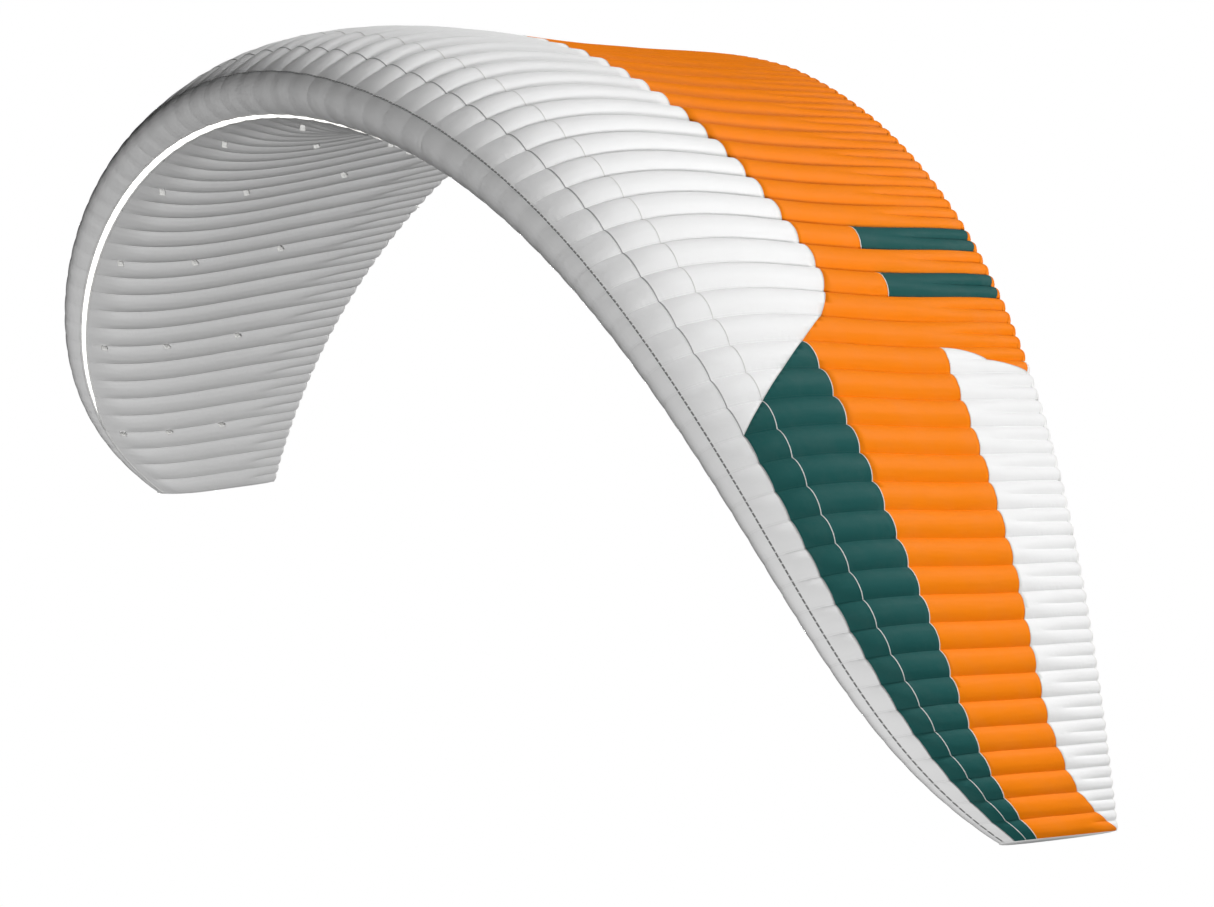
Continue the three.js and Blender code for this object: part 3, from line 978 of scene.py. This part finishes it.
def sew_mini_ribs(zone, side, label, inner, outer, bay):
    """The short walls that halve each cell in front of the trailing edge."""
    bm = bmesh.new()
    near, far = span_of(zone, side, inner, outer)
    for i in range(round(far - near)):
        k = near + i + 0.5

        def shape(u, v):
            w = math.sqrt(MINI_START + (MINI_END - MINI_START) * u)
            top, bottom = (skin(k, side_w, WALL_INSET + bulge(k, side_w)) for side_w in (w, -w))
            return bottom.lerp(top, v)

        add_grid(bm, 8, 2, shape, 0, lambda u, v: ((0.4 * u, 0.1 * v), (0.5, 0)))
    piece = make(f"mini_ribs_{label}", bm, ["rib"], thickness=RIB_CLOTH, offset=0.0)
    attach(piece, zone, side)


ROD_RADIUS = 0.0025
ROD_DEPTH = 0.0045
ROD_BESIDE = 0.03  # cells between a rod and its rib
ROD_ENDS = (-0.18, 0.38)


def fit_rods(zone, side, label, inner, outer, bay):
    """The nylon rods that hold the nose's shape, one beside each rib."""
    bm = bmesh.new()
    for rib in range(math.floor(inner), outer, -1):
        k = SIDES[side] * (TIP_K - rib - ROD_BESIDE)

        def shape(u, v):
            radius = ROD_RADIUS if 0 < round(v * 36) < 36 else 0
            w = ROD_ENDS[0] + (ROD_ENDS[1] - ROD_ENDS[0]) * v
            turn = 2 * math.pi * u
            here = skin(k, w, radius * math.cos(turn) - ROD_DEPTH)
            return here + station(k).outward() * radius * math.sin(turn)

        add_grid(bm, 8, 36, shape, 0, lambda u, v: ((0.016 * u, 0.9 * v), (0.5, 0)))
    bmesh.ops.remove_doubles(bm, verts=bm.verts, dist=1e-6)
    bmesh.ops.recalc_face_normals(bm, faces=bm.faces)
    piece = make(f"nose_rods_{label}", bm, ["rod"], thickness=0)
    attach(piece, zone, side, bends=False)
    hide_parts(f"nose_rod_{side}")


# Half of a line loop's side view: spread from its middle and depth below the sail
LOOP_TURN = ((0.0018, 0), (0.0022, 0.012), (0.0038, 0.022), (0.0045, 0.029), (0.003, 0.0345), (0, 0.036))
LOOP_WIDTH = 0.03
LINE_RIBS = (34, 29, 24, 19, 14, 9, 4)
BRAKE_RIBS = (23, 21, 19, 17, 15)
BRAKE_SIZE = 0.5


def fit_loops(zone, side, label, inner, outer, bay):
    """The webbing loops that the lines are tied to, under the ribs and at the trailing edge."""
    spots = [(rib, -math.sqrt(t), 1.0) for rib in LINE_RIBS for t in LINE_ROWS]
    spots += [(rib, -0.998, BRAKE_SIZE) for rib in BRAKE_RIBS]
    bm = bmesh.new()
    for rib, w, size in spots:
        if not inner >= rib > outer:
            continue
        k = SIDES[side] * (TIP_K - rib)
        top = skin(k, w)
        down = (skin(k, w, 0.1) - top).normalized()
        across = station(k).outward()
        along = down.cross(across)

        def shape(u, v):
            i = round(u * 10)
            spread, depth = LOOP_TURN[min(i, 10 - i)]
            spread = math.copysign(spread, i - 5)
            return top + size * (across * spread + down * depth + along * LOOP_WIDTH * (v - 0.5))

        add_grid(bm, 10, 4, shape, 0, lambda u, v: ((0.08 * u, 0.03 * v), (0.5, 0)))
    if not bm.verts:
        return bm.free()
    piece = make(f"line_loops_{label}", bm, ["webbing"], thickness=0.0012, offset=0.0)
    attach(piece, zone, side)


for part in wing_parts():
    for panel in PANELS:
        sew_panel(panel, *part)
    sew_seams(*part)
    sew_hem(*part)
    sew_mini_ribs(*part)
    if part[0] != "middle":
        fit_rods(*part)
        fit_loops(*part)
for side in SIDES:
    for rib in range(34, 0, -1):
        sew_wall(rib, side)
    sew_tip_wall(side)
sew_span_tape()


# ---- Stage ----

VIEW_AZIMUTH = math.radians(59.63)
VIEW_PITCH = math.radians(12.57)
VIEW_ROLL = math.radians(1.615)
VIEW_TARGET = Vector((1.2958, -0.0709, -1.3377))
VIEW_DISTANCE = 133.8
LENS = 789.8
FLOOR_BELOW = 6.0


def set_camera():
    data = bpy.data.cameras.new("camera")
    data.lens = LENS
    data.sensor_width = 36
    data.clip_end = 3000
    camera = bpy.data.objects.new("camera", data)
    turn = (Matrix.Rotation(VIEW_AZIMUTH, 4, "Z") @ Matrix.Rotation(math.pi / 2 - VIEW_PITCH, 4, "X")
            @ Matrix.Rotation(VIEW_ROLL, 4, "Z"))
    camera.matrix_world = Matrix.Translation(VIEW_TARGET) @ turn @ Matrix.Translation((0, 0, VIEW_DISTANCE))
    bpy.context.scene.collection.objects.link(camera)
    bpy.context.scene.camera = camera


def set_floor():
    bm = bmesh.new()
    bmesh.ops.create_grid(bm, x_segments=1, y_segments=1, size=1500)
    bmesh.ops.translate(bm, verts=bm.verts, vec=(0, 0, CAD_BOX[0].z - FLOOR_BELOW))
    mesh = bpy.data.meshes.new("floor")
    bm.to_mesh(mesh)
    bm.free()
    floor = bpy.data.objects.new("floor", mesh)
    bpy.context.scene.collection.objects.link(floor)
    material, _, shader = bare_material("floor", 1.0)
    shader.inputs["Base Color"].default_value = (0, 0, 0, 1)
    shader.inputs["Specular IOR Level"].default_value = 0
    shader.inputs["Emission Color"].default_value = (1, 1, 1, 1)
    shader.inputs["Emission Strength"].default_value = 1
    mesh.materials.append(material)
    floor.visible_diffuse = False
    floor.visible_glossy = False
    floor.visible_shadow = False


AMBIENT = 0.02
# Each sun's name, its strength and where it stands
LIGHTS = (
    ("high_sun", 4.15, (0, 0.73, 0.68)),
    ("front_light", 2.9, (0.87, -0.486, 0.03)),
    ("back_light", 2.4, (-0.84, 0.49, -0.25)),
)


def set_lights():
    world = bpy.data.worlds.new("studio")
    world.use_nodes = True
    tree = world.node_tree
    backdrop = tree.nodes["Background"]
    backdrop.inputs["Color"].default_value = (1, 1, 1, 1)
    seen = tree.nodes.new("ShaderNodeLightPath").outputs["Is Camera Ray"]
    tree.links.new(maths(tree, "ADD", maths(tree, "MULTIPLY", seen, 1 - AMBIENT), AMBIENT),
                   backdrop.inputs["Strength"])
    bpy.context.scene.world = world
    for name, strength, towards in LIGHTS:
        sun = bpy.data.objects.new(name, bpy.data.lights.new(name, "SUN"))
        sun.data.energy = strength
        sun.data.angle = math.radians(10)
        sun.rotation_euler = Vector(towards).to_track_quat("Z", "Y").to_euler()
        bpy.context.scene.collection.objects.link(sun)
    bpy.context.scene.view_settings.view_transform = "Standard"


set_camera()
set_floor()
set_lights()
